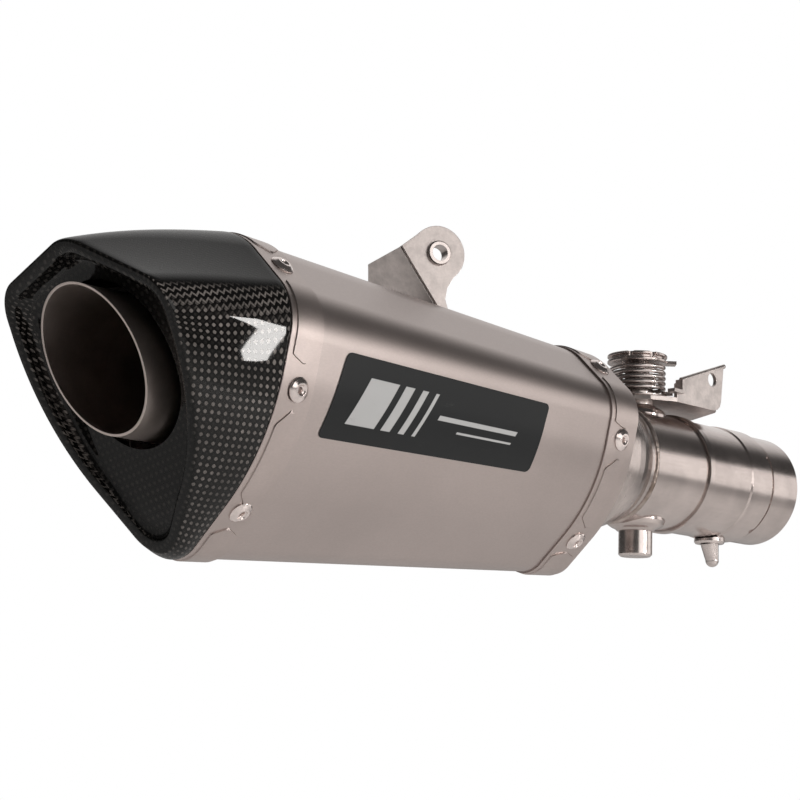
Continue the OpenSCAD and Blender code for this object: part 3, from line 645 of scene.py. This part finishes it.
def add_band(name, node, s0, s1, mid, runs):
    """Strap with a pressed, pointed panel between each pair of rivets."""
    index = np.arange(COUNT)
    full = (s1 - s0) * 0.36
    half, lift = np.full(COUNT, 0.15), np.zeros(COUNT)
    for start, end in runs:
        inside = (index - start * FINE) % COUNT
        depth = np.minimum(inside, (end - start) * FINE - inside)
        run = depth >= 0
        half[run] = np.clip(depth[run] / PANEL_POINT, 0.05, 1) * full
        lift[run] = np.clip(depth[run], 0, 1) * PANEL_LIFT
    edge, rounded = 0.3, 0.25
    rings = [body_ring(s0 + 0.02, 0.02), body_ring(s0, SHEET - rounded), body_ring(s0 + rounded, SHEET)]
    rings += [body_ring(mid - half - edge, SHEET), body_ring(mid - half - edge * 0.4, SHEET + lift * 0.75),
              body_ring(mid - half, SHEET + lift), body_ring(mid, SHEET + lift),
              body_ring(mid + half, SHEET + lift), body_ring(mid + half + edge * 0.4, SHEET + lift * 0.75),
              body_ring(mid + half + edge, SHEET)]
    rings += [body_ring(s1 - rounded, SHEET), body_ring(s1, SHEET - rounded), body_ring(s1 - 0.02, 0.02)]
    band = grid_mesh(name, rings, wrap_rings=True, sharp=22)
    finish_with(band, "titanium_band")
    stands_for(band, node)


add_sleeve()
add_band("rear_strap", "rear_band", SEAM - 21, SEAM, 431,
         ((13, 23), (26, 32), (35, 49), (53, 58), (61, 71), (76, 84)))
add_band("front_strap", "front_band", NOSE, NOSE + 24, 187,
         ((12, 21), (25, 31), (35, 49), (53, 59), (63, 73), (77, 84)))

# ---- label -------------------------------------------------------------------------------


def add_label():
    """Plain film on the near flank with rounded corners, following the taper."""
    top, bottom, round_r = 24.2, -18.0, 3.2
    near = slice(16 * FINE, 40 * FINE)
    across = np.linspace(0, 1, 120)

    def inset(t):
        near_edge = min(top - t, t - bottom)
        gap = max(0.0, round_r - near_edge)
        return round_r - math.sqrt(max(0.0, round_r ** 2 - gap ** 2))

    def row(t, off, grow=0.0):
        s0 = 253.3 - 0.09 * t + inset(t) - grow
        s1 = 407 - 0.16 * t - inset(t) + grow
        skin = BASE[near] + NORMAL[near] * off
        side = np.interp(t, skin[::-1, 1], skin[::-1, 0])
        s = s0 + (s1 - s0) * across
        yz = rolled(np.stack([np.full_like(s, side), np.full_like(s, t)], 1) * scale_at(s)[:, None], ROLL)
        return np.column_stack([-s, yz])

    heights = np.concatenate([top - round_r * (1 - np.cos(np.linspace(0, math.pi / 2, 8))),
                              np.linspace(top - round_r, bottom + round_r, 40)[1:-1],
                              bottom + round_r * (1 - np.cos(np.linspace(math.pi / 2, 0, 8)))])
    rows = [row(heights[0], 0.03)] + [row(t, 0.3) for t in heights] + [row(heights[-1], 0.03)]
    label = grid_mesh("flank_label", rows, wrap_points=False,
                      uv=lambda i, j: (-rows[i][j][0] * MM,
                                       heights[min(max(i - 1, 0), len(heights) - 1)] * MM))
    finish_with(label, "label_film")
    stands_for(label, "label")


add_label()

# ---- spring, welds and small parts -------------------------------------------------------

SPINDLE_X = -114.5


def add_spring():
    turns, pitch, low, radius, wire = 5, 2.98, 42.7, 15, 1.3
    a = np.radians(np.linspace(-60, -60 + 360 * turns, 64 * turns + 1))
    z = low + pitch * np.linspace(0, turns, len(a))
    helix = np.column_stack([SPINDLE_X + radius * np.cos(a), radius * np.sin(a), z])
    leg = [(SPINDLE_X + r * math.cos(a[0]), r * math.sin(a[0]), low) for r in (20.4, 19.2, 18.0, 17.0, 16.2)]
    spring = sweep("spring_coils", np.vstack([leg, helix]), wire)
    finish_with(spring, "spring_steel")
    stands_for(spring, "return_spring")


def ripple_ring(name, s, radius, width, height, ripples, seed):
    """Weld bead round the tube, with the overlapping ripples of its passes."""
    draw = np.random.default_rng(seed)
    around = np.linspace(0, 2 * math.pi, ripples * 8, endpoint=False)
    phase = (around * ripples / (2 * math.pi)) % 1
    swell = 0.78 + 0.22 * np.sqrt(np.clip(1 - phase, 0, 1))
    wander = np.repeat(draw.uniform(-0.12, 0.12, ripples), 8)
    profile = np.linspace(0, math.pi, 9)
    rings = []
    for p in profile:
        lean = phase * 0.35 * math.sin(p) * width
        r = radius + height * swell * math.sin(p)
        x = -s + width * math.cos(p) * (0.92 + wander) + lean * 0.5
        rings.append(np.column_stack([x, r * np.cos(around), r * np.sin(around)]))
    rings.append(np.column_stack([np.full_like(around, -s), (radius - 0.1) * np.cos(around),
                                  (radius - 0.1) * np.sin(around)]))
    return grid_mesh(name, rings, wrap_rings=True, sharp=60)


def add_welds():
    low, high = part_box("neck_weld")
    s = -(low[0] + high[0]) / 2 / MM
    top = high[2] / MM
    bead = ripple_ring("neck_weld_bead", s, top - 1.5, 1.75, 1.45, 64, 7)
    finish_with(bead, "weld")
    stands_for(bead, "neck_weld")


add_spring()
add_welds()
